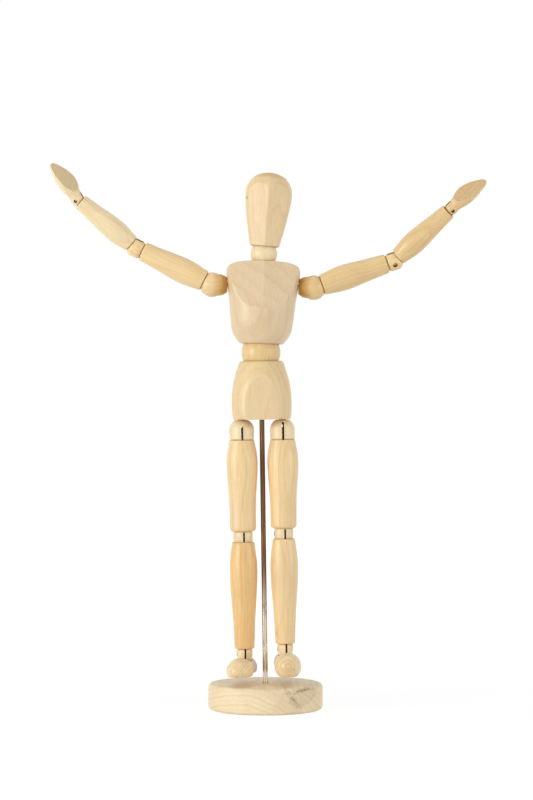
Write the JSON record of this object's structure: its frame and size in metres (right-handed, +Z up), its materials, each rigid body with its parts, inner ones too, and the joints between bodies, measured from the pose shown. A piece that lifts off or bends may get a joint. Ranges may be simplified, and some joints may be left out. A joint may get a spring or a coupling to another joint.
{
  "type": "wooden lay figure",
  "caption": "Jointed wooden artist's lay figure with turned limbs, ball joints and flat-sanded torso and head, standing on a steel rod in a round wooden base.",
  "frame": {"origin": "centre of the base's flat underside, on the surface that the figure stands on", "axes": "+Z up, square to the base's underside, the figure faces -Y, its own left arm is at +X"},
  "size_m": [0.2424, 0.064, 0.3044],
  "materials": {
    "wood_pale": "satin clear varnish on pale beech",
    "wood_pink": "satin clear varnish on pinkish beech",
    "wood_amber": "satin clear varnish on darker beech",
    "steel": "plain drawn steel"
  },
  "bodies": {
    "stand": {"base": "wood_pale", "stand_rod": "steel"},
    "pelvis": {"pelvis": "wood_pale"},
    "waist_core": {"waist_spring": "steel"},
    "waist": {"waist_ball": "wood_pale"},
    "chest": {"chest": "wood_pink", "chest_spring": "steel", "neck_spring": "steel", "shoulder_axle": "steel"},
    "neck": {"neck": "wood_pale"},
    "neck_core": {"head_spring": "steel"},
    "head": {"head": "wood_pale"},
    "shoulder_left": {"shoulder_ball_left": "wood_amber", "shoulder_pin_left": "steel"},
    "upper_arm_left": {"upper_arm_left": "wood_pale", "upper_arm_link_left": "steel"},
    "elbow_left": {"elbow_left": "wood_pale", "elbow_stem_left": "steel", "elbow_pin_left": "steel"},
    "forearm_left": {"forearm_left": "wood_amber", "forearm_link_left": "steel"},
    "hand_left": {"hand_left": "wood_pale", "wrist_pin_left": "steel"},
    "hip_left": {"hip_ball_left": "wood_amber", "hip_stem_left": "steel", "hip_pin_left": "steel"},
    "thigh_left": {"thigh_left": "wood_pale", "thigh_link_left": "steel"},
    "knee_left": {"knee_left": "wood_pale", "knee_stem_left": "steel", "knee_pin_left": "steel"},
    "shin_left": {"shin_left": "wood_amber", "shin_link_left": "steel"},
    "ankle_left": {"ankle_left": "wood_pale", "ankle_pin_left": "steel"},
    "foot_left": {"foot_left": "wood_pink"},
    "shoulder_right": {"shoulder_ball_right": "wood_amber", "shoulder_pin_right": "steel"},
    "upper_arm_right": {"upper_arm_right": "wood_pale", "upper_arm_link_right": "steel"},
    "elbow_right": {"elbow_right": "wood_pale", "elbow_stem_right": "steel", "elbow_pin_right": "steel"},
    "forearm_right": {"forearm_right": "wood_amber", "forearm_link_right": "steel"},
    "hand_right": {"hand_right": "wood_pale", "wrist_pin_right": "steel"},
    "hip_right": {"hip_ball_right": "wood_amber", "hip_stem_right": "steel", "hip_pin_right": "steel"},
    "thigh_right": {"thigh_right": "wood_pale", "thigh_link_right": "steel"},
    "knee_right": {"knee_right": "wood_pale", "knee_stem_right": "steel", "knee_pin_right": "steel"},
    "shin_right": {"shin_right": "wood_amber", "shin_link_right": "steel"},
    "ankle_right": {"ankle_right": "wood_pale", "ankle_pin_right": "steel"},
    "foot_right": {"foot_right": "wood_pink"}
  },
  "joints": [
    {"name": "figure_turn", "type": "hinge", "parent": "stand", "child": "pelvis", "pos_m": [-0.00198, 0, 0.16199], "axis": [-0.0134, 0, 0.9999], "continuous": true},
    {"name": "waist_twist", "type": "hinge", "parent": "pelvis", "child": "waist_core", "pos_m": [-0.00249, 0, 0.19948], "axis": [-0.0134, 0, 0.9999], "range_deg": [-35, 35]},
    {"name": "waist_bend", "type": "hinge", "parent": "waist_core", "child": "waist", "pos_m": [-0.00249, 0, 0.19948], "axis": [0.9999, 0, 0.0134], "range_deg": [-18, 18]},
    {"name": "waist_lean", "type": "hinge", "parent": "waist", "child": "chest", "pos_m": [-0.00249, 0, 0.19948], "axis": [0, 1, 0], "range_deg": [-18, 16]},
    {"name": "neck_nod", "type": "hinge", "parent": "chest", "child": "neck", "pos_m": [-0.00086, 0, 0.25481], "axis": [0.9996, 0, -0.0293], "range_deg": [-18, 18]},
    {"name": "neck_tilt", "type": "hinge", "parent": "neck", "child": "neck_core", "pos_m": [-0.00086, 0, 0.25481], "axis": [0, 1, 0], "range_deg": [-18, 16]},
    {"name": "head_turn", "type": "hinge", "parent": "neck_core", "child": "head", "pos_m": [-0.00086, 0, 0.25481], "axis": [0.0825, 0, 0.9966], "range_deg": [-80, 80]},
    {"name": "shoulder_swing_left", "type": "hinge", "parent": "chest", "child": "shoulder_left", "pos_m": [0.02709, 0, 0.23583], "axis": [0.9996, 0, -0.0293], "continuous": true},
    {"name": "arm_raise_left", "type": "hinge", "parent": "shoulder_left", "child": "upper_arm_left", "pos_m": [0.02709, 0, 0.23583], "axis": [0, -1, 0], "range_deg": [-96, 56]},
    {"name": "elbow_turn_left", "type": "hinge", "parent": "upper_arm_left", "child": "elbow_left", "pos_m": [0.07171, 0, 0.25061], "axis": [-0.9493, 0, -0.3143], "range_deg": [-90, 90]},
    {"name": "elbow_bend_left", "type": "hinge", "parent": "elbow_left", "child": "forearm_left", "pos_m": [0.07171, 0, 0.25061], "axis": [-0.1619, 0.8572, 0.4889], "range_deg": [-37, 92]},
    {"name": "wrist_bend_left", "type": "hinge", "parent": "forearm_left", "child": "hand_left", "pos_m": [0.10346, -0.01042, 0.27938], "axis": [0.1619, -0.8572, -0.4889], "range_deg": [-41, 48]},
    {"name": "hip_turn_left", "type": "hinge", "parent": "pelvis", "child": "hip_left", "pos_m": [0.0095, 0, 0.15584], "axis": [-0.0134, 0, 0.9999], "range_deg": [-15, 45]},
    {"name": "thigh_swing_left", "type": "hinge", "parent": "hip_left", "child": "thigh_left", "pos_m": [0.0095, 0, 0.15584], "axis": [-0.9985, -0.0523, -0.0134], "range_deg": [-60, 75]},
    {"name": "knee_turn_left", "type": "hinge", "parent": "thigh_left", "child": "knee_left", "pos_m": [0.01028, 0, 0.09825], "axis": [0.0134, 0, -0.9999], "range_deg": [-45, 20]},
    {"name": "knee_bend_left", "type": "hinge", "parent": "knee_left", "child": "shin_left", "pos_m": [0.01028, 0, 0.09825], "axis": [0.9902, 0.1392, 0.0133], "range_deg": [-48, 48]},
    {"name": "ankle_bend_left", "type": "hinge", "parent": "shin_left", "child": "ankle_left", "pos_m": [0.01115, 0, 0.0334], "axis": [-0.9902, -0.1392, -0.0133], "range_deg": [-12, 25]},
    {"name": "foot_turn_left", "type": "hinge", "parent": "ankle_left", "child": "foot_left", "pos_m": [0.01115, 0, 0.0334], "axis": [-0.0134, 0, 0.9999], "range_deg": [-20, 45]},
    {"name": "shoulder_swing_right", "type": "hinge", "parent": "chest", "child": "shoulder_right", "pos_m": [-0.02988, 0, 0.2375], "axis": [0.9996, 0, -0.0293], "continuous": true},
    {"name": "arm_raise_right", "type": "hinge", "parent": "shoulder_right", "child": "upper_arm_right", "pos_m": [-0.02988, 0, 0.2375], "axis": [0, 1, 0], "range_deg": [-100, 52]},
    {"name": "elbow_turn_right", "type": "hinge", "parent": "upper_arm_right", "child": "elbow_right", "pos_m": [-0.07221, 0, 0.25794], "axis": [-0.9005, 0, 0.4349], "range_deg": [-90, 90]},
    {"name": "elbow_bend_right", "type": "hinge", "parent": "elbow_right", "child": "forearm_right", "pos_m": [-0.07221, 0, 0.25794], "axis": [-0.2175, -0.866, -0.4502], "range_deg": [-48, 80]},
    {"name": "wrist_bend_right", "type": "hinge", "parent": "forearm_right", "child": "hand_right", "pos_m": [-0.10493, -0.00588, 0.28505], "axis": [0.2175, 0.866, 0.4502], "range_deg": [-59, 29]},
    {"name": "hip_turn_right", "type": "hinge", "parent": "pelvis", "child": "hip_right", "pos_m": [-0.0133, 0, 0.15553], "axis": [0.0134, 0, -0.9999], "range_deg": [-15, 45]},
    {"name": "thigh_swing_right", "type": "hinge", "parent": "hip_right", "child": "thigh_right", "pos_m": [-0.0133, 0, 0.15553], "axis": [-0.9985, -0.0523, -0.0134], "range_deg": [-60, 75]},
    {"name": "knee_turn_right", "type": "hinge", "parent": "thigh_right", "child": "knee_right", "pos_m": [-0.0125, 0, 0.09634], "axis": [-0.0134, 0, 0.9999], "range_deg": [-45, 20]},
    {"name": "knee_bend_right", "type": "hinge", "parent": "knee_right", "child": "shin_right", "pos_m": [-0.0125, 0, 0.09634], "axis": [0.9944, 0.1045, 0.0134], "range_deg": [-48, 48]},
    {"name": "ankle_bend_right", "type": "hinge", "parent": "shin_right", "child": "ankle_right", "pos_m": [-0.01162, 0, 0.0306], "axis": [-0.9944, -0.1045, -0.0134], "range_deg": [-12, 25]},
    {"name": "foot_turn_right", "type": "hinge", "parent": "ankle_right", "child": "foot_right", "pos_m": [-0.01162, 0, 0.0306], "axis": [0.0134, 0, -0.9999], "range_deg": [-20, 45]}
  ]
}
